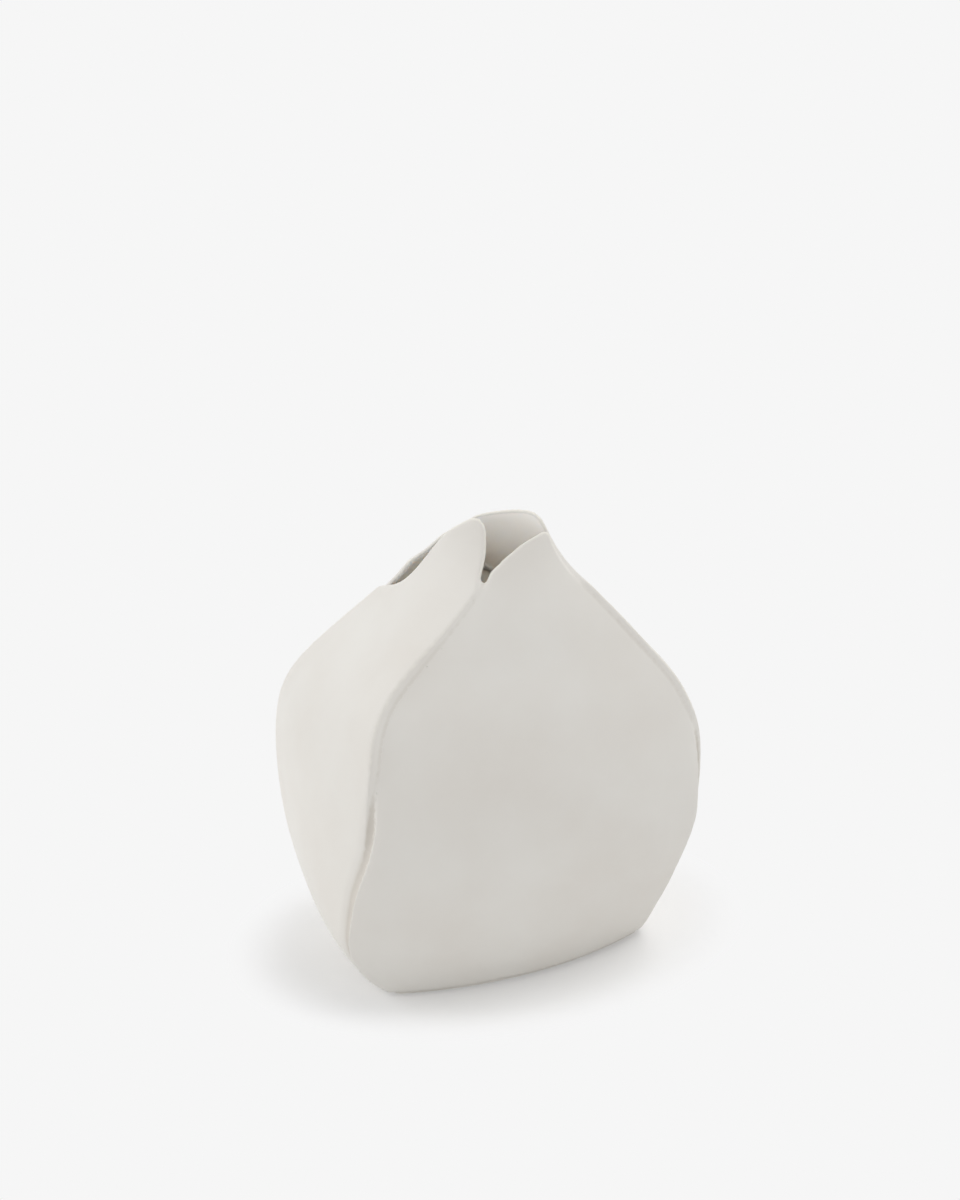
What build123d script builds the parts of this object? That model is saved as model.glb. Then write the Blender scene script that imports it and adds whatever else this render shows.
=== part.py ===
from build123d import *
import math
import os

# A hand-built pillow vase: four curved slabs of porcelain round a small base slab.
# X runs along the wide front slab, Y runs to the back, Z is up, the table is at zero.

# Overall sizes, which the shares below follow
height = 200
belly_width = 160
belly_depth = 112

# Slabs and their joints
wall = 3.2
lip_wall = 2.0
lip_rounding = 0.6
lip_thinning_share = 0.75
lap_proud = 0.9
joint_gap = 0.3

# Base slab: a thin rim under the walls and a thicker middle between them
rim_thickness = 1.3
base_thickness = 5.0
base_corner_radius = 3.5

# Clay coils pressed into the inside corners
coil_radius = 2.8
coil_clearance = 0.8
coil_end_clearance = 24
coil_points = 7
coil_bend_share = 0.45
base_coil_height = 4.5
base_coil_width = 5.5
base_coil_rounding = 3.0

overrun = 60

# Each upright seam from the table up, past its notch to the top of the petals beside it:
# shares of half the belly's width, half its depth and the height
front_left_seam_shares = [
    (-0.72, -0.58, 0.0), (-0.90, -0.57, 0.06), (-1.03, -0.67, 0.15), (-1.03, -0.82, 0.31),
    (-0.98, -0.86, 0.43), (-0.91, -0.69, 0.63), (-0.76, -0.58, 0.71), (-0.47, -0.50, 0.80),
    (-0.19, -0.39, 0.89), (-0.09, -0.25, 0.96), (-0.03, -0.13, 1.04),
]
front_right_seam_shares = [
    (0.71, -0.52, 0.0), (0.81, -0.70, 0.12), (0.89, -0.94, 0.31), (0.90, -1.0, 0.43),
    (0.88, -0.99, 0.53), (0.80, -0.90, 0.63), (0.67, -0.76, 0.71), (0.50, -0.59, 0.80),
    (0.33, -0.40, 0.89), (0.26, -0.33, 0.96), (0.23, -0.29, 1.04),
]
back_right_seam_shares = [
    (0.70, 0.45, 0.0), (0.86, 0.52, 0.06), (0.98, 0.64, 0.15), (1.02, 0.80, 0.31),
    (0.98, 0.84, 0.43), (0.81, 0.71, 0.63), (0.58, 0.61, 0.71), (0.21, 0.52, 0.80),
    (0.0, 0.46, 0.89), (-0.03, 0.39, 0.96), (-0.05, 0.31, 1.04),
]
back_left_seam_shares = [
    (-0.71, 0.38, 0.0), (-0.79, 0.63, 0.11), (-0.86, 0.85, 0.22), (-0.90, 0.99, 0.38),
    (-0.88, 0.98, 0.53), (-0.76, 0.85, 0.63), (-0.62, 0.68, 0.71), (-0.44, 0.49, 0.80),
    (-0.30, 0.34, 0.89), (-0.25, 0.25, 0.96), (-0.21, 0.19, 1.04),
]

# How far each slab bulges, as a share of its width, against height
front_crown_shares = [
    (0.095, 0.0), (0.085, 0.3), (0.08, 0.5), (0.065, 0.7), (0.08, 0.88), (0.09, 1.04),
]
side_crown_shares = [
    (0.03, 0.0), (0.07, 0.3), (0.07, 0.5), (0.03, 0.7), (0.04, 0.82), (0.08, 0.92), (0.08, 1.04),
]

# Which slab's edge stands in front at a seam, against height: 1 for the side slabs,
# -1 for the front and back slabs, and an open groove where the two change over
lap_shares = [(-0.05, -1.0), (0.25, -1.0), (0.42, -0.3), (0.63, 1.0), (1.05, 1.0)]

# Petal lips: share of the way across the slab, seen from outside, and share of the height
front_lip_shares = [
    (-0.15, 0.84), (0.0, 0.887), (0.15, 0.914), (0.45, 0.944), (0.75, 0.962), (0.92, 0.966),
    (1.0, 0.955), (1.1, 0.90),
]
left_lip_shares = [
    (-0.15, 0.79), (0.0, 0.806), (0.15, 0.828), (0.21, 0.88), (0.40, 0.962), (0.62, 0.989),
    (0.82, 1.0), (0.93, 0.99), (0.985, 0.965), (1.0, 0.93), (1.0, 0.90), (1.2, 0.872),
]
right_lip_shares = [
    (-0.12, 0.85), (0.0, 0.893), (0.045, 0.95), (0.14, 0.987), (0.35, 0.985), (0.53, 0.973),
    (0.71, 0.959), (0.88, 0.94), (1.0, 0.905), (1.12, 0.865),
]
back_lip_shares = [
    (-0.12, 0.885), (0.05, 0.905), (0.37, 0.893), (0.68, 0.867), (0.91, 0.857), (1.0, 0.845),
    (1.08, 0.815),
]

# Heights at which the slabs' sections are drawn
station_shares = [
    -0.03, 0.0, 0.03, 0.06, 0.10, 0.15, 0.22, 0.31, 0.40, 0.49, 0.57, 0.64, 0.70, 0.75, 0.80,
    0.85, 0.90, 0.96, 1.03,
]
slope_step_share = 0.01


def smooth(rows, level):
    """Value at a height of a smooth curve through rows that end in their height."""
    last = len(rows) - 1
    low = 0
    while low < last - 1 and level > rows[low + 1][-1]:
        low += 1
    high = low + 1

    def slope(index, column):
        before = rows[max(index - 1, 0)]
        after = rows[min(index + 1, last)]
        return (after[column] - before[column]) / (after[-1] - before[-1])

    span = rows[high][-1] - rows[low][-1]
    part = (level - rows[low][-1]) / span
    values = []
    for column in range(len(rows[0]) - 1):
        if part < 0:
            values.append(rows[low][column] + part * span * slope(low, column))
            continue
        start, end = rows[low][column], rows[high][column]
        rise = slope(low, column) * span
        fall = slope(high, column) * span
        values.append(
            start
            + rise * part
            + (3 * (end - start) - 2 * rise - fall) * part**2
            + (2 * (start - end) + rise + fall) * part**3
        )
    return values


def wall_at(level):
    """Thickness of the slabs, which thin towards their lips."""
    thin_share = min(max((level - lip_thinning_share) / (1 - lip_thinning_share), 0), 1)
    return wall + (lip_wall - wall) * thin_share


def lap_at(level):
    """How far the side slabs stand in front at a height, from -1 to 1."""
    rows = [(lap, at_level) for at_level, lap in lap_shares]
    return min(max(smooth(rows, level)[0], -1), 1)


class Seam:
    """An upright joint between the slab before it and the slab after it, seen from outside."""

    def __init__(self, shares):
        self.shares = shares

    def point(self, level):
        """Point at a share of the height where the slabs' middle surfaces meet."""
        x_share, y_share = smooth(self.shares, level)
        return Vector(x_share * belly_width / 2, y_share * belly_depth / 2, level * height)

    def direction(self, level):
        """Direction in which the seam climbs at a height."""
        above = self.point(level + slope_step_share)
        return (above - self.point(level - slope_step_share)).normalized()

    def normals(self, level):
        """Outward normals of the two slabs at the seam."""
        return self.before.edge_normal(self, level), self.after.edge_normal(self, level)

    def setback(self, level, chord, in_front):
        """Distance along a slab's chord from the seam back to the slab's end."""
        normals = self.normals(level)
        flatness = normals[0].dot(normals[1])
        sharpness = normals[0].cross(normals[1]).length
        half_wall = wall_at(level) / 2
        lead = in_front * lap_at(level)
        lap = lead**2 * (3 - 2 * abs(lead))
        meeting = (half_wall * sharpness + joint_gap) / (1 + flatness)
        ahead = meeting - (meeting + half_wall + lap_proud) * lap
        square = ahead
        if lead < 0:
            tucked = (half_wall + joint_gap + half_wall * abs(flatness)) / sharpness
            square = min(tucked, half_wall * sharpness - ahead * flatness + joint_gap)
        return square / chord.cross(self.direction(level)).length


class Slab:
    """A curved slab between two seams, seen from outside with its left seam first."""

    def __init__(self, left_seam, right_seam, crown_shares, in_front, lip_shares):
        self.left_seam = left_seam
        self.right_seam = right_seam
        left_seam.after = self
        right_seam.before = self
        self.crown_shares = crown_shares
        self.in_front = in_front
        self.lip_shares = lip_shares

    def plane(self, level):
        """Plane of the slab's section at a height, square to its middle line."""
        left = self.left_seam.point(level)
        right = self.right_seam.point(level)
        chord = (right - left).normalized()
        rise = self.middle(level + slope_step_share) - self.middle(level - slope_step_share)
        outward = chord.cross(rise).normalized()
        return Plane(origin=left, x_dir=chord, z_dir=chord.cross(outward))

    def width(self, level):
        """Straight distance between the slab's seams at a height."""
        return (self.right_seam.point(level) - self.left_seam.point(level)).length

    def crown(self, level):
        """Rise of the slab's arch over its chord at a height."""
        return smooth(self.crown_shares, level)[0] * self.width(level)

    def middle(self, level):
        """Middle of the slab's crown at a height."""
        left = self.left_seam.point(level)
        right = self.right_seam.point(level)
        chord = right - left
        outward = chord.cross(Vector(0, 0, 1)).normalized()
        return (left + right) / 2 + outward * self.crown(level)

    def point(self, across, level):
        """Point of the slab's middle surface, across from its left seam and up."""
        height_above_chord = 4 * self.crown(level) * across * (1 - across)
        return self.plane(level).from_local_coords(Vector(across * self.width(level), height_above_chord))

    def edge_normal(self, seam, level):
        """Outward normal of the slab where it meets one of its seams."""
        plane = self.plane(level)
        slope = 4 * self.crown(level) / self.width(level)
        if seam is self.right_seam:
            slope = -slope
        along = plane.x_dir + plane.y_dir * slope
        return along.cross(seam.direction(level)).normalized()

    def section(self, level, spare=0.0):
        """Closed outline of the slab at a height: an arched strip with square ends."""
        plane = self.plane(level)
        width = self.width(level)
        crown = self.crown(level)
        radius = (width**2 / 4 + crown**2) / (2 * crown)
        half_turn = math.asin(width / 2 / radius)
        left_back = self.left_seam.setback(level, plane.x_dir, self.in_front)
        right_back = self.right_seam.setback(level, plane.x_dir, self.in_front)
        start = -half_turn + (left_back - spare) / radius
        end = half_turn - (right_back - spare) / radius
        half_wall = wall_at(level) / 2 + spare

        def at(turn, offset):
            reach = radius + offset
            local = Vector(width / 2 + reach * math.sin(turn), crown - radius + reach * math.cos(turn))
            return plane.from_local_coords(local)

        outer = ThreePointArc(at(start, half_wall), at((start + end) / 2, half_wall), at(end, half_wall))
        right_end = Line(at(end, half_wall), at(end, -half_wall))
        inner = ThreePointArc(at(end, -half_wall), at((start + end) / 2, -half_wall), at(start, -half_wall))
        left_end = Line(at(start, -half_wall), at(start, half_wall))
        return Wire([outer, right_end, inner, left_end])

    def blank(self, spare=0.0):
        """The whole slab before its lip and its foot are cut."""
        return Solid.make_loft([self.section(level, spare) for level in station_shares])

    def lip_cutter(self):
        """Everything above the petal lip, cut square to the slab."""
        middle = self.plane(self.lip_shares[len(self.lip_shares) // 2][1])
        face_plane = Plane(
            origin=self.point(0.5, self.lip_shares[1][1]),
            x_dir=middle.x_dir,
            z_dir=middle.y_dir,
        )
        lip = [face_plane.to_local_coords(self.point(*shares)) for shares in self.lip_shares]
        flat = [(place.X, place.Y) for place in lip]
        up = 1 if face_plane.y_dir.Z > 0 else -1
        first, final = flat[0], flat[-1]
        sides = Polyline(final, (final[0], up * overrun), (first[0], up * overrun), first)
        outline = Wire([Spline(*flat), *sides.edges()])
        return extrude(face_plane * Face(outline), overrun / 2, both=True)

    def solid(self):
        """The finished slab."""
        foot = Box(
            belly_width * 2,
            belly_depth * 2,
            overrun,
            align=(Align.CENTER, Align.CENTER, Align.MAX),
        ).moved(Location((0, 0, rim_thickness + joint_gap)))
        slab = (self.blank() - foot - self.lip_cutter()).solid()
        lip = slab.faces().filter_by(GeomType.EXTRUSION).edges()
        lip = lip.filter_by(lambda edge: edge.length > 2 * wall)
        return slab.chamfer(lip_rounding, None, lip)


front_left_seam = Seam(front_left_seam_shares)
front_right_seam = Seam(front_right_seam_shares)
back_right_seam = Seam(back_right_seam_shares)
back_left_seam = Seam(back_left_seam_shares)
front = Slab(front_left_seam, front_right_seam, front_crown_shares, -1, front_lip_shares)
right = Slab(front_right_seam, back_right_seam, side_crown_shares, 1, right_lip_shares)
back = Slab(back_right_seam, back_left_seam, front_crown_shares, -1, back_lip_shares)
left = Slab(back_left_seam, front_left_seam, side_crown_shares, 1, left_lip_shares)
slabs = {"front_slab": front, "right_slab": right, "back_slab": back, "left_slab": left}


def outline(level, inset=0.0):
    """Face inside the slabs' middle surfaces at a height, level, with round corners."""
    arcs = []
    for slab in slabs.values():
        ends = [slab.left_seam.point(level), slab.right_seam.point(level)]
        arcs.append(ThreePointArc(ends[0], slab.middle(level), ends[1]))
    face = Face(Wire(arcs))
    if inset:
        face = offset(face, -inset)
    return fillet(face.vertices(), base_corner_radius + inset)


def layer(low, high, inset=0.0):
    """Solid inside the walls between two heights, which spreads as they lean out."""
    faces = [outline(low / height, inset).face(), outline(high / height, inset).face()]
    return loft(faces)


def largest(shape):
    """The largest solid of a cut shape."""
    return max(shape.solids(), key=lambda solid: solid.volume)


def seam_coil(seam):
    """Round coil in the inside corner of a seam, of straight runs and tangent arcs."""
    before_top = smooth([(level, across) for across, level in seam.before.lip_shares], 1)[0]
    after_top = smooth([(level, across) for across, level in seam.after.lip_shares], 0)[0]
    top = min(before_top, after_top) - coil_end_clearance / height
    bottom = (base_thickness + base_coil_height + joint_gap + coil_radius) / height
    places = []
    for step in range(coil_points):
        level = bottom + (top - bottom) * step / (coil_points - 1)
        normals = seam.normals(level)
        reach = (wall / 2 + coil_clearance + coil_radius) / (1 + normals[0].dot(normals[1]))
        places.append(seam.point(level) - (normals[0] + normals[1]) * reach)
    radii = []
    for here, corner, there in zip(places, places[1:], places[2:]):
        turn = (corner - here).get_angle(there - corner)
        run = min((corner - here).length, (there - corner).length)
        radii.append(coil_bend_share * run / math.tan(math.radians(turn) / 2))
    path = FilletPolyline(*places, radius=radii)
    foot = Plane(origin=path @ 0, z_dir=path % 0)
    return sweep(foot * Circle(coil_radius), path=path)


walls = [slab.blank(joint_gap) for slab in slabs.values()]

walls_foot = rim_thickness + joint_gap
rim_outline = outline(walls_foot / height).moved(Location((0, 0, -walls_foot)))
rim = extrude(rim_outline, rim_thickness, dir=(0, 0, 1))
middle = largest(layer(rim_thickness, base_thickness) - walls)
base_slab = rim + middle

coil_foot = base_thickness + joint_gap
coil_top = coil_foot + base_coil_height
base_coil = layer(coil_foot, coil_top) - layer(coil_foot, coil_top, base_coil_width)
base_coil = fillet(base_coil.faces().sort_by(Axis.Z)[-1].inner_wires()[0].edges(), base_coil_rounding)
base_coil = largest(base_coil - walls)

pieces = {name: slab.solid() for name, slab in slabs.items()}
pieces["base_slab"] = base_slab
pieces["base_coil"] = base_coil
pieces["front_left_coil"] = seam_coil(front_left_seam)
pieces["front_right_coil"] = seam_coil(front_right_seam)
pieces["back_right_coil"] = seam_coil(back_right_seam)
pieces["back_left_coil"] = seam_coil(back_left_seam)

# The origin is on the table under the middle of the whole vase
centre = Compound(list(pieces.values())).bounding_box().center()
os.makedirs("parts", exist_ok=True)
for name, piece in pieces.items():
    export_step(piece.moved(Location((-centre.X, -centre.Y, 0))), f"parts/{name}.step")
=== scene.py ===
import math

import bpy
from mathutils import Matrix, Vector
from mathutils.bvhtree import BVHTree


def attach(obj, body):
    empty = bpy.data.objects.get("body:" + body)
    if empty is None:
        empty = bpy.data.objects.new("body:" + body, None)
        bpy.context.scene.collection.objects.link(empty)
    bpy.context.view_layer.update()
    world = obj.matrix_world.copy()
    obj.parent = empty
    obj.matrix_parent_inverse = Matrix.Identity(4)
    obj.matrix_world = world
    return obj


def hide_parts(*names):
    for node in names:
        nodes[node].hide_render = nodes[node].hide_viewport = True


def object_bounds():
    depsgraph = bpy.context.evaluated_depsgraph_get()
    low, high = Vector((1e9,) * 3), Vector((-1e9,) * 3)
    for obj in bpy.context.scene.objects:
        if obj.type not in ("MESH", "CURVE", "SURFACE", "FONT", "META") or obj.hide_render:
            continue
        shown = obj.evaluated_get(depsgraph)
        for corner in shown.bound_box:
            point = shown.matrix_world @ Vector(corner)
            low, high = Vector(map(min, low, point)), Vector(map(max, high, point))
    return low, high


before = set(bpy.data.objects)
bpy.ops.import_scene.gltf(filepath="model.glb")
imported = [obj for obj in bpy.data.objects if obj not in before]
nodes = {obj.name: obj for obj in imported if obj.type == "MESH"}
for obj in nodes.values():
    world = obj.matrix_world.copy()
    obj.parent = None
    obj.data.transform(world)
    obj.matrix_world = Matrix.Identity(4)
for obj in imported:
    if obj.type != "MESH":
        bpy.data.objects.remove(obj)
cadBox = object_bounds()
bpy.context.scene.view_settings.view_transform = "Standard"
print("frame loaded:", len(nodes), "pieces of clay")


# Helpers for pieces

def deselectAll():
    bpy.ops.object.select_all(action="DESELECT")


def makeActive(piece):
    deselectAll()
    piece.select_set(True)
    bpy.context.view_layer.objects.active = piece


def addModifier(piece, name, kind, **settings):
    makeActive(piece)
    modifier = piece.modifiers.new(name, kind)
    for setting, value in settings.items():
        setattr(modifier, setting, value)
    bpy.ops.object.modifier_apply(modifier=modifier.name)


def moveSkin(piece, name, distance, group=""):
    # outwards, or inwards where distance is below zero
    addModifier(
        piece, name, "DISPLACE", direction="NORMAL", mid_level=0, strength=distance, vertex_group=group,
    )


def skinOf(piece):
    return BVHTree.FromObject(piece, bpy.context.evaluated_depsgraph_get())


def distanceTo(skin, place, reach):
    # None where the skin is further away than reach
    return skin.find_nearest(place, reach)[3]


def directionOf(azimuth, elevation):
    # azimuth in degrees round the vase from its front, elevation in degrees above the floor
    turn = math.radians(azimuth)
    tilt = math.radians(elevation)
    return Vector((math.sin(turn) * math.cos(tilt), -math.cos(turn) * math.cos(tilt), math.sin(tilt)))


deselectAll()


# Helpers for shader nodes

def grey(level):
    return (level, level, level, 1)


def combine(tree, operation, first, second):
    node = tree.nodes.new("ShaderNodeMath")
    node.operation = operation
    tree.links.new(first, node.inputs[0])
    tree.links.new(second, node.inputs[1])
    return node.outputs["Value"]


def mixValues(tree, kind, share, first, second):
    node = tree.nodes.new("ShaderNodeMix")
    node.data_type = kind
    tree.links.new(share, node.inputs["Factor"])
    tree.links.new(first, node.inputs["A"])
    tree.links.new(second, node.inputs["B"])
    return node.outputs["Result"]


def mixShaders(tree, share, first, second):
    node = tree.nodes.new("ShaderNodeMixShader")
    tree.links.new(share, node.inputs["Fac"])
    tree.links.new(first, node.inputs[1])
    tree.links.new(second, node.inputs[2])
    return node.outputs["Shader"]


def mapRange(tree, value, start, end, low=0, high=1, curve="LINEAR"):
    # low where the value is start, high where it is end
    node = tree.nodes.new("ShaderNodeMapRange")
    node.interpolation_type = curve
    node.inputs["From Min"].default_value = start
    node.inputs["From Max"].default_value = end
    node.inputs["To Min"].default_value = low
    node.inputs["To Max"].default_value = high
    tree.links.new(value, node.inputs["Value"])
    return node.outputs["Result"]


def addNoise(tree, scale, detail):
    place = tree.nodes.new("ShaderNodeTexCoord")
    noise = tree.nodes.new("ShaderNodeTexNoise")
    noise.inputs["Detail"].default_value = detail
    tree.links.new(place.outputs["Object"], noise.inputs["Vector"])
    tree.links.new(scale, noise.inputs["Scale"])
    return noise.outputs["Fac"]


def newGroup(name, inputs, outputs):
    # inputs and outputs give each socket's name and whether it is a Color or a Float
    group = bpy.data.node_groups.new(name, "ShaderNodeTree")
    for direction, sockets in (("INPUT", inputs), ("OUTPUT", outputs)):
        for socket, kind in sockets.items():
            group.interface.new_socket(name=socket, in_out=direction, socket_type="NodeSocket" + kind)
    return group


def addGroup(tree, group, settings):
    node = tree.nodes.new("ShaderNodeGroup")
    node.node_tree = group
    for socket, value in settings.items():
        node.inputs[socket].default_value = value
    return node


# Camera, where the photographer stood: left of the wide front slab and looking down

cameraValues = {
    "azimuth": -27,
    "elevation": 25,
    "distance": 2.2,
    "lookAt": 0.158,          # height of the middle of the picture
    "sideways": -0.003,       # the vase stands a little right of the middle
    "lens": 157.1,
    "clipEnd": 20,
}


def addCamera(values):
    back = directionOf(values["azimuth"], values["elevation"])
    right = directionOf(values["azimuth"] + 90, 0)
    target = right * values["sideways"] + Vector((0, 0, values["lookAt"]))
    bpy.ops.object.camera_add(location=target + back * values["distance"])
    camera = bpy.context.active_object
    camera.name = "studioCamera"
    camera.rotation_euler = back.to_track_quat("Z", "Y").to_euler()
    camera.data.lens = values["lens"]
    camera.data.clip_end = values["clipEnd"]
    bpy.context.scene.camera = camera


addCamera(cameraValues)
print("camera placed")


# Effects that the glazed and the bare clay share

cloudValues = {
    "detail": 4,
    "lightest": 0.3,          # noise below this is all light clay
    "warmest": 0.7,           # and above this all warm clay
}

markValues = {
    "grainDetail": 2,
    "rippleDetail": 1,
}

rimLightAndGrooveShadeValues = {
    "rimStart": 0.35,         # the rim attribute is above zero on the walls' edges: pale rims, partly thin glaze and partly painted highlight
    "rimFull": 0.9,
    "grooveShadeStart": -0.1,      # and below zero in their grooves, for painted shade there
    "grooveShadeFull": -0.6,
}


def clayCloudsGroup(values):
    inputs = {
        "Light Clay": "Color",
        "Warm Clay": "Color",
        "Cloud Scale": "Float",
        "Dry Roughness": "Float",
        "Smooth Roughness": "Float",
    }
    group = newGroup("clayClouds", inputs, {"Color": "Color", "Roughness": "Float"})
    entry = group.nodes.new("NodeGroupInput").outputs
    leave = group.nodes.new("NodeGroupOutput").inputs
    clouds = addNoise(group, entry["Cloud Scale"], values["detail"])
    warm = mapRange(group, clouds, values["lightest"], values["warmest"])
    color = mixValues(group, "RGBA", warm, entry["Light Clay"], entry["Warm Clay"])
    roughness = mixValues(group, "FLOAT", warm, entry["Smooth Roughness"], entry["Dry Roughness"])
    group.links.new(color, leave["Color"])
    group.links.new(roughness, leave["Roughness"])
    return group


def handMarksGroup(values):
    inputs = {
        "Grain Scale": "Float",
        "Grain Depth": "Float",
        "Ripple Scale": "Float",
        "Ripple Depth": "Float",
    }
    group = newGroup("handMarks", inputs, {"Height": "Float"})
    entry = group.nodes.new("NodeGroupInput").outputs
    leave = group.nodes.new("NodeGroupOutput").inputs
    grain = addNoise(group, entry["Grain Scale"], values["grainDetail"])
    grain = combine(group, "MULTIPLY", grain, entry["Grain Depth"])
    ripple = addNoise(group, entry["Ripple Scale"], values["rippleDetail"])
    ripple = combine(group, "MULTIPLY", ripple, entry["Ripple Depth"])
    group.links.new(combine(group, "ADD", grain, ripple), leave["Height"])
    return group


def rimLightAndGrooveShadeGroup(values):
    # paints pale rims, partly thin glaze and partly painted highlight, and painted shade in grooves and
    # seams
    inputs = {"Clay": "Color", "Pale Rim And Highlight": "Color", "Groove Shade Color": "Color"}
    group = newGroup("rimLightAndGrooveShade", inputs, {"Color": "Color"})
    entry = group.nodes.new("NodeGroupInput").outputs
    leave = group.nodes.new("NodeGroupOutput").inputs
    mark = group.nodes.new("ShaderNodeAttribute")
    mark.attribute_name = "rim"
    # rims: partly paler clay where the glaze runs thin, partly painted highlight
    rim = mapRange(group, mark.outputs["Fac"], values["rimStart"], values["rimFull"])
    # grooves and seams: painted shade
    groove = mapRange(group, mark.outputs["Fac"], values["grooveShadeStart"], values["grooveShadeFull"])
    color = mixValues(group, "RGBA", rim, entry["Clay"], entry["Pale Rim And Highlight"])
    color = mixValues(group, "RGBA", groove, color, entry["Groove Shade Color"])
    group.links.new(color, leave["Color"])
    return group


clayClouds = clayCloudsGroup(cloudValues)
handMarks = handMarksGroup(markValues)
rimLightAndGrooveShade = rimLightAndGrooveShadeGroup(rimLightAndGrooveShadeValues)


# Clay and glaze. A scale is a noise's scale, so a larger one gives smaller clouds, grain or ripples,
# and a depth is in metres.

satinPorcelainValues = {
    "lightClay": (0.865, 0.845, 0.80, 1),
    "warmClay": (0.82, 0.787, 0.735, 1),
    # rim colour: partly thin glaze, partly painted highlight; groove colour: painted shade
    "paleRimAndHighlight": (0.96, 0.93, 0.85, 1),
    "grooveShadeColor": (0.72, 0.68, 0.62, 1),
    "cloudScale": 18,
    "dryRoughness": 0.62,
    "smoothRoughness": 0.5,
    "grainScale": 1600,
    "grainDepth": 0.000006,
    "rippleScale": 38,
    "rippleDepth": 0.00025,
    "specular": 0.35,
    "glow": 0,
    "glowDepth": 0.001,
}

innerGlazeWithPaintedLightValues = {
    # lighter than the outer porcelain: painted light, standing in for light that the dim inside lacks
    "lightClay": (0.95, 0.90, 0.84, 1),
    "warmClay": (0.935, 0.88, 0.815, 1),
    # rim colour: partly thin glaze, partly painted highlight; groove colour: painted shade
    "paleRimAndHighlight": (0.96, 0.93, 0.85, 1),
    "grooveShadeColor": (0.85, 0.81, 0.75, 1),
    "cloudScale": 22,
    "dryRoughness": 0.5,
    "smoothRoughness": 0.4,
    "grainScale": 1600,
    "grainDepth": 0.000004,
    "rippleScale": 38,
    "rippleDepth": 0.00025,
    "specular": 0.4,
    "glow": 0.9,              # share of the light that spreads inside the thin porcelain
    "glowDepth": 0.008,
}

bareClayValues = {
    "lightClay": (0.87, 0.84, 0.79, 1),
    "warmClay": (0.84, 0.81, 0.75, 1),
    "paleRimAndHighlight": (0.84, 0.81, 0.75, 1),       # as warm clay, because base and coils have no rims
    "grooveShadeColor": (0.84, 0.81, 0.75, 1),
    "cloudScale": 60,
    "dryRoughness": 0.85,
    "smoothRoughness": 0.75,
    "grainScale": 2200,
    "grainDepth": 0.00002,
    "rippleScale": 120,
    "rippleDepth": 0.00015,
    "specular": 0.25,
    "glow": 0,
    "glowDepth": 0.001,
}

glowRadius = (1, 0.88, 0.78)  # red light goes furthest in porcelain


def clayMaterial(name, values):
    material = bpy.data.materials.new(name)
    material.use_nodes = True
    tree = material.node_tree
    shader = tree.nodes["Principled BSDF"]
    clouds = addGroup(tree, clayClouds, {
        "Light Clay": values["lightClay"],
        "Warm Clay": values["warmClay"],
        "Cloud Scale": values["cloudScale"],
        "Dry Roughness": values["dryRoughness"],
        "Smooth Roughness": values["smoothRoughness"],
    })
    # pale rims, partly painted highlight, and painted shade in the grooves
    rims = addGroup(tree, rimLightAndGrooveShade, {
        "Pale Rim And Highlight": values["paleRimAndHighlight"],
        "Groove Shade Color": values["grooveShadeColor"],
    })
    marks = addGroup(tree, handMarks, {
        "Grain Scale": values["grainScale"],
        "Grain Depth": values["grainDepth"],
        "Ripple Scale": values["rippleScale"],
        "Ripple Depth": values["rippleDepth"],
    })
    bump = tree.nodes.new("ShaderNodeBump")
    bump.inputs["Distance"].default_value = 1    # so the marks' depths are in metres
    tree.links.new(clouds.outputs["Color"], rims.inputs["Clay"])
    tree.links.new(rims.outputs["Color"], shader.inputs["Base Color"])
    tree.links.new(clouds.outputs["Roughness"], shader.inputs["Roughness"])
    tree.links.new(marks.outputs["Height"], bump.inputs["Height"])
    tree.links.new(bump.outputs["Normal"], shader.inputs["Normal"])
    shader.inputs["Specular IOR Level"].default_value = values["specular"]
    shader.inputs["Subsurface Weight"].default_value = values["glow"]
    shader.inputs["Subsurface Radius"].default_value = glowRadius
    shader.inputs["Subsurface Scale"].default_value = values["glowDepth"]
    return material


satinPorcelain = clayMaterial("satinPorcelain", satinPorcelainValues)
innerGlazeWithPaintedLight = clayMaterial("innerGlazeWithPaintedLight", innerGlazeWithPaintedLightValues)
bareClay = clayMaterial("bareClay", bareClayValues)
print("clay materials mixed")


# Walls: the four slabs, fused by slip, then parted again along their seams

wallValues = {
    "mergeReach": 0.00002,    # corners of the CAD's loose triangles that are nearer than this are one
    "voxel": 0.0009,
    "slip": 0.0004,           # how far slip reaches from a slab into its seams
    "ridge": 0.0011,          # how far the left slab swells along its seam with the front slab
    "ridgeReach": 0.014,
    "ridgeHeights": (0.085, 0.115, 0.15, 0.17),      # it starts, is full, fades and ends
    "groove": 0.0016,         # how deep a tool pressed the lower seams
    "grooveReach": 0.006,
    "grooveHeights": (0.006, 0.016, 0.09, 0.108),
    "paintedGrooveShade": 0.7,       # how dark the painted shade is at the groove's bottom
    "softness": 0.5,          # how far one round of smoothing moves a point to its neighbours' middle
    "softRounds": 4,
    "innerAim": 0.1,          # skin turned towards this height on the middle line is inside
    "wearRounds": 24,
    "rimRise": 0.0006,        # height above the worn wall that counts as a whole rim
    "rimLowest": 0.1,         # pale rims, partly painted highlight, fade in between these heights
    "rimWhole": 0.12,
    "partingReach": 0.0022,   # how far a side slab's piece reaches into the slabs beside it
    "cutReach": 0.000005,     # faces this near to what cut them are the cut's own
    "waveSize": 0.045,
    "waveDetail": 1,
    "waveDepth": 0.0006,
    "borderLowest": 0.13,     # the glazes' border is divided above this height, on the lips
    "borderCuts": 2,
}

slabs = {
    "frontSlab": "front_slab",
    "rightSlab": "right_slab",
    "backSlab": "back_slab",
    "leftSlab": "left_slab",
}

# taken before any piece replaces a slab, because a hidden node has no mesh to measure
slabSkins = {node: skinOf(nodes[node]) for node in slabs.values()}


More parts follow.
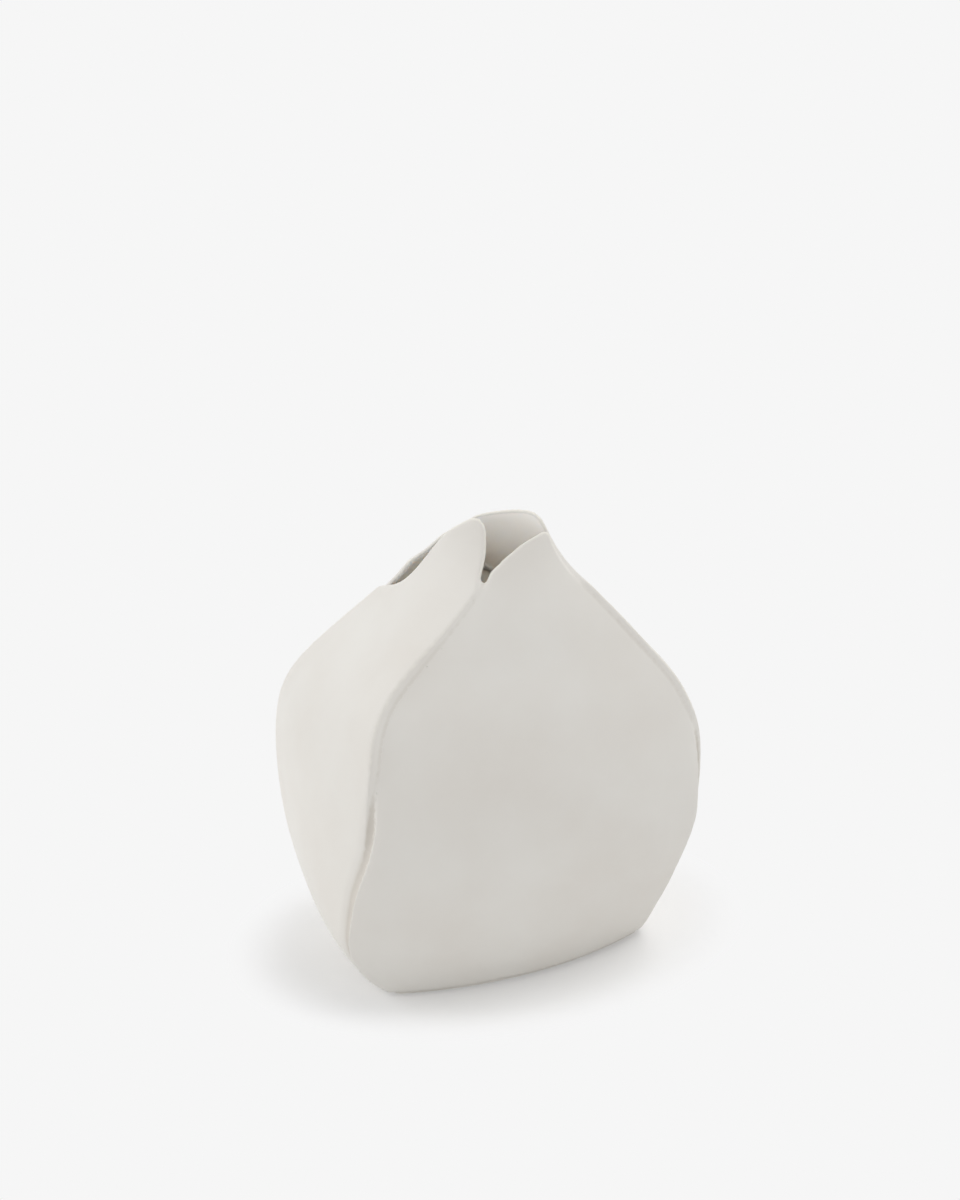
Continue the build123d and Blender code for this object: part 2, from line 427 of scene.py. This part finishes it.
def copyOfNode(name, node, values):
    piece = bpy.data.objects.new(name, nodes[node].data.copy())
    bpy.context.scene.collection.objects.link(piece)
    makeActive(piece)
    bpy.ops.object.mode_set(mode="EDIT")
    bpy.ops.mesh.select_all(action="SELECT")
    bpy.ops.mesh.remove_doubles(threshold=values["mergeReach"])
    bpy.ops.mesh.normals_make_consistent(inside=False)
    bpy.ops.object.mode_set(mode="OBJECT")
    piece.data.materials.clear()
    return piece


def copyOfPiece(name, piece):
    copy = piece.copy()
    copy.data = piece.data.copy()
    copy.name = name
    bpy.context.scene.collection.objects.link(copy)
    return copy


def rampedHeight(height, heights):
    # 0 below and above the heights, 1 between the middle two
    bottom, full, fading, top = heights
    return max(0, min((height - bottom) / (full - bottom), (top - height) / (top - fading), 1))


def swellRidge(slab, neighbour, values):
    edge = skinOf(neighbour)
    reach = values["ridgeReach"]
    group = slab.vertex_groups.new(name="ridge")
    for vertex in slab.data.vertices:
        rise = rampedHeight(vertex.co.z, values["ridgeHeights"])
        distance = distanceTo(edge, vertex.co, reach)
        if rise > 0 and distance is not None:
            group.add([vertex.index], rise * (1 - distance / reach), "REPLACE")
    moveSkin(slab, "ridge", values["ridge"], "ridge")


def pressSeams(walls, values):
    # a groove along the lower seams, where side and face slabs meet, with painted shade along its bottom
    reach = values["grooveReach"]
    middle = Vector((0, 0, values["innerAim"]))
    group = walls.vertex_groups.new(name="pressed")
    rim = walls.data.attributes.new("rim", "FLOAT", "POINT")
    for vertex, mark in zip(walls.data.vertices, rim.data):
        place = vertex.co
        deep = rampedHeight(place.z, values["grooveHeights"])
        if deep == 0 or vertex.normal.dot(place - middle) < 0:
            continue
        side = slabSkins["right_slab" if place.x > 0 else "left_slab"]
        face = slabSkins["back_slab" if place.y > 0 else "front_slab"]
        sideDistance = distanceTo(side, place, reach)
        faceDistance = distanceTo(face, place, reach)
        if sideDistance is not None and faceDistance is not None:
            near = 1 - max(sideDistance, faceDistance) / reach
            press = deep * near * near * (3 - 2 * near)    # eased at both ends
            group.add([vertex.index], press, "REPLACE")
            # painted shade, darkest at the groove's bottom, stored below zero in the rim attribute
            mark.value = -values["paintedGrooveShade"] * press ** 2
    moveSkin(walls, "pressed", -values["groove"], "pressed")


def fuseSlabs(values):
    copies = {name: copyOfNode(name + "Copy", node, values) for name, node in slabs.items()}
    for copy in copies.values():
        addModifier(copy, "clayRemesh", "REMESH", mode="VOXEL", voxel_size=values["voxel"])
    swellRidge(copies["leftSlab"], copies["frontSlab"], values)
    for copy in copies.values():
        moveSkin(copy, "slipCoat", values["slip"])
    deselectAll()
    for copy in copies.values():
        copy.select_set(True)
    bpy.context.view_layer.objects.active = copies["frontSlab"]
    bpy.ops.object.join()
    walls = bpy.context.active_object
    addModifier(walls, "fused", "REMESH", mode="VOXEL", voxel_size=values["voxel"])
    moveSkin(walls, "slipWiped", -values["slip"])
    pressSeams(walls, values)
    addModifier(walls, "softened", "SMOOTH", factor=values["softness"], iterations=values["softRounds"])
    print("slabs fused:", len(walls.data.polygons), "faces")
    return walls


def markInside(walls, values):
    # the "inward" attribute is above zero where the skin faces the inside
    middle = Vector((0, 0, values["innerAim"]))
    inward = walls.data.attributes.new("inward", "FLOAT", "POINT")
    for vertex, mark in zip(walls.data.vertices, inward.data):
        mark.value = -vertex.normal.dot((vertex.co - middle).normalized())


def markRimsAndSeamShade(walls, values):
    # edges stand above a copy of the walls that is worn smooth, and seams lie below it: edges get pale
    # rims, partly thin glaze and partly painted highlight, and seams get painted shade
    worn = copyOfPiece("wornWalls", walls)
    addModifier(worn, "worn", "SMOOTH", factor=values["softness"], iterations=values["wearRounds"])
    rim = walls.data.attributes["rim"]
    lowest, whole = values["rimLowest"], values["rimWhole"]
    for vertex, wornVertex, mark in zip(walls.data.vertices, worn.data.vertices, rim.data):
        rise = (vertex.co - wornVertex.co).dot(vertex.normal) / values["rimRise"]
        if rise > 0:
            rise *= max(0, min(1, (vertex.co.z - lowest) / (whole - lowest)))
        mark.value += rise
    bpy.data.objects.remove(worn)


def sideReach(name, node, values):
    reach = copyOfNode(name, node, values)
    moveSkin(reach, "grown", values["partingReach"])
    return reach


def cutPiece(piece, cutter, operation, values):
    addModifier(piece, "parted", "BOOLEAN", object=cutter, operation=operation, solver="MANIFOLD")
    # the cut's hidden faces get sharp borders, so they don't shade the skin beside them
    cut = skinOf(cutter)
    for face in piece.data.polygons:
        face.select = distanceTo(cut, face.center, values["cutReach"]) is not None
    bpy.ops.object.mode_set(mode="EDIT")
    bpy.ops.mesh.select_mode(type="FACE")
    bpy.ops.mesh.region_to_loop()
    bpy.ops.mesh.mark_sharp()
    bpy.ops.object.mode_set(mode="OBJECT")


def separateParts(piece):
    # the largest part comes last
    makeActive(piece)
    bpy.ops.object.mode_set(mode="EDIT")
    bpy.ops.mesh.select_all(action="SELECT")
    bpy.ops.mesh.separate(type="LOOSE")
    bpy.ops.object.mode_set(mode="OBJECT")
    return sorted(bpy.context.selected_objects, key=lambda part: len(part.data.polygons))


def furthestForward(piece):
    return min(vertex.co.y for vertex in piece.data.vertices)


def partWalls(walls, values):
    leftReach = sideReach("leftReach", "left_slab", values)
    rightReach = sideReach("rightReach", "right_slab", values)
    left = copyOfPiece("leftSlab", walls)
    cutPiece(left, leftReach, "INTERSECT", values)
    right = copyOfPiece("rightSlab", walls)
    cutPiece(right, rightReach, "INTERSECT", values)
    cutPiece(walls, leftReach, "DIFFERENCE", values)
    cutPiece(walls, rightReach, "DIFFERENCE", values)
    parts = separateParts(walls)
    print("walls parted:", [len(part.data.polygons) for part in parts], "faces")
    for crumb in parts[:-2]:    # what the cuts may leave beside the two large parts
        bpy.data.objects.remove(crumb)
    front, back = sorted(parts[-2:], key=furthestForward)
    front.name = "frontSlab"
    back.name = "backSlab"
    bpy.data.objects.remove(leftReach)
    bpy.data.objects.remove(rightReach)
    return [front, right, back, left]


def addWaves(slab, values):
    waves = bpy.data.textures.new(slab.name + "Waves", "CLOUDS")
    waves.noise_scale = values["waveSize"]
    waves.noise_depth = values["waveDetail"]
    waves.cloud_type = "COLOR"
    addModifier(
        slab, "rolledWaves", "DISPLACE", texture=waves, texture_coords="LOCAL",
        direction="RGB_TO_XYZ", strength=values["waveDepth"],
    )


def divideBorder(slab, values):
    # smaller faces where the glazes meet on the lips, for a smooth border
    aims = [mark.value for mark in slab.data.attributes["inward"].data]
    for face in slab.data.polygons:
        faceAims = [aims[corner] for corner in face.vertices]
        face.select = face.center.z > values["borderLowest"] and min(faceAims) < 0 < max(faceAims)
    bpy.ops.object.mode_set(mode="EDIT")
    bpy.ops.mesh.select_mode(type="FACE")
    bpy.ops.mesh.subdivide(number_cuts=values["borderCuts"])
    bpy.ops.object.mode_set(mode="OBJECT")


def glazeSlab(slab):
    slab.data.materials.clear()
    slab.data.materials.append(satinPorcelain)
    slab.data.materials.append(innerGlazeWithPaintedLight)
    aims = [mark.value for mark in slab.data.attributes["inward"].data]
    for face in slab.data.polygons:
        face.material_index = 1 if sum(aims[corner] for corner in face.vertices) > 0 else 0


def finishSlab(slab, values):
    addWaves(slab, values)
    bpy.ops.object.shade_smooth()
    divideBorder(slab, values)
    glazeSlab(slab)
    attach(slab, "root")
    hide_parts(slabs[slab.name])
    print(slab.name, "shaped:", len(slab.data.polygons), "faces")


walls = fuseSlabs(wallValues)
markInside(walls, wallValues)
markRimsAndSeamShade(walls, wallValues)
for slab in partWalls(walls, wallValues):
    finishSlab(slab, wallValues)


# Base and inside coils keep their CAD shape, in bare clay

for node, piece in nodes.items():
    if node not in slabs.values():
        piece.data.materials.clear()
        piece.data.materials.append(bareClay)
print("base and coils dressed")


# Studio: a light tent, brighter at its sides than overhead, and three soft lamps

studioValues = {
    "paper": 0.922,           # what the camera sees of floor and tent
    "floorForClay": 0.88,     # what the clay sees of the floor
    "floorSize": 40,
    "shadowStrength": 0.85,   # how much of the floor's shadow the camera sees under the vase
    "shadowNear": 0.95,       # it fades between these shares of the vase's half width and depth
    "shadowFar": 1.35,
    "sideStrength": 0.9,
    "overheadStrength": 0.3,
}

lampValues = {
    "keyLamp": {"strength": 0.8, "azimuth": -120, "elevation": 28, "softness": 45},
    "topLamp": {"strength": 0.7, "azimuth": 78, "elevation": 68, "softness": 25},
    "rearLamp": {"strength": 0.5, "azimuth": 120, "elevation": 35, "softness": 50},
}


def seenByCamera(tree):
    # 1 for what the camera sees, straight or reflected, and 0 for what lights the clay
    path = tree.nodes.new("ShaderNodeLightPath")
    return combine(tree, "MAXIMUM", path.outputs["Is Camera Ray"], path.outputs["Is Glossy Ray"])


def addTent(values):
    world = bpy.data.worlds.new("studioTent")
    bpy.context.scene.world = world
    world.use_nodes = True
    tree = world.node_tree
    tree.nodes.clear()
    direction = tree.nodes.new("ShaderNodeTexCoord")
    parts = tree.nodes.new("ShaderNodeSeparateXYZ")
    tree.links.new(direction.outputs["Generated"], parts.inputs["Vector"])
    strength = mapRange(
        tree, parts.outputs["Z"], 0, 1, values["sideStrength"], values["overheadStrength"],
    )
    tent = tree.nodes.new("ShaderNodeBackground")
    tent.inputs["Color"].default_value = grey(1)
    tree.links.new(strength, tent.inputs["Strength"])
    paper = tree.nodes.new("ShaderNodeBackground")
    paper.inputs["Color"].default_value = grey(values["paper"])
    light = mixShaders(
        tree, seenByCamera(tree), tent.outputs["Background"], paper.outputs["Background"],
    )
    tree.links.new(light, tree.nodes.new("ShaderNodeOutputWorld").inputs["Surface"])


def addLamp(name, values):
    towards = directionOf(values["azimuth"], values["elevation"])
    bpy.ops.object.light_add(type="SUN", location=towards)
    lamp = bpy.context.active_object
    lamp.name = name
    lamp.rotation_euler = towards.to_track_quat("Z", "Y").to_euler()
    lamp.data.energy = values["strength"]
    lamp.data.angle = math.radians(values["softness"])


def floorLight(values, lamps):
    # on open floor: the tent's overhead strength counts twice, because it meets the floor squarely
    tent = (values["sideStrength"] + 2 * values["overheadStrength"]) / 3
    return tent + sum(
        lamp["strength"] * math.sin(math.radians(lamp["elevation"])) / math.pi for lamp in lamps.values()
    )


def plainShare(tree, values):
    # how much of the floor's shading is plain paper: a little under the vase, all of it further out
    place = tree.nodes.new("ShaderNodeTexCoord")
    share = tree.nodes.new("ShaderNodeVectorMath")
    share.operation = "DIVIDE"
    share.inputs[1].default_value = (Vector(cadBox[1]) - Vector(cadBox[0])) / 2
    tree.links.new(place.outputs["Object"], share.inputs[0])
    reach = tree.nodes.new("ShaderNodeVectorMath")
    reach.operation = "LENGTH"
    tree.links.new(share.outputs["Vector"], reach.inputs[0])
    return mapRange(
        tree, reach.outputs["Value"], values["shadowNear"], values["shadowFar"],
        1 - values["shadowStrength"], 1, "SMOOTHSTEP",
    )


def whitePaper(values, lamps):
    material = bpy.data.materials.new("whitePaper")
    material.use_nodes = True
    tree = material.node_tree
    shader = tree.nodes["Principled BSDF"]
    shader.inputs["Roughness"].default_value = 1
    shader.inputs["Specular IOR Level"].default_value = 0
    seen = seenByCamera(tree)
    tint = tree.nodes.new("ShaderNodeMix")
    tint.data_type = "RGBA"
    tint.inputs["A"].default_value = grey(values["floorForClay"])
    tint.inputs["B"].default_value = grey(values["paper"] / floorLight(values, lamps))
    tree.links.new(seen, tint.inputs["Factor"])
    tree.links.new(tint.outputs["Result"], shader.inputs["Base Color"])
    paper = tree.nodes.new("ShaderNodeEmission")
    paper.inputs["Color"].default_value = grey(values["paper"])
    plain = combine(tree, "MULTIPLY", seen, plainShare(tree, values))
    surface = mixShaders(tree, plain, shader.outputs["BSDF"], paper.outputs["Emission"])
    tree.links.new(surface, tree.nodes["Material Output"].inputs["Surface"])
    return material


def addFloor(values, lamps):
    bpy.ops.mesh.primitive_plane_add(size=values["floorSize"], location=(0, 0, 0))
    floor = bpy.context.active_object
    floor.name = "paperFloor"
    floor.data.materials.append(whitePaper(values, lamps))


addTent(studioValues)
for lampName, values in lampValues.items():
    addLamp(lampName, values)
addFloor(studioValues, lampValues)
print("studio lit")
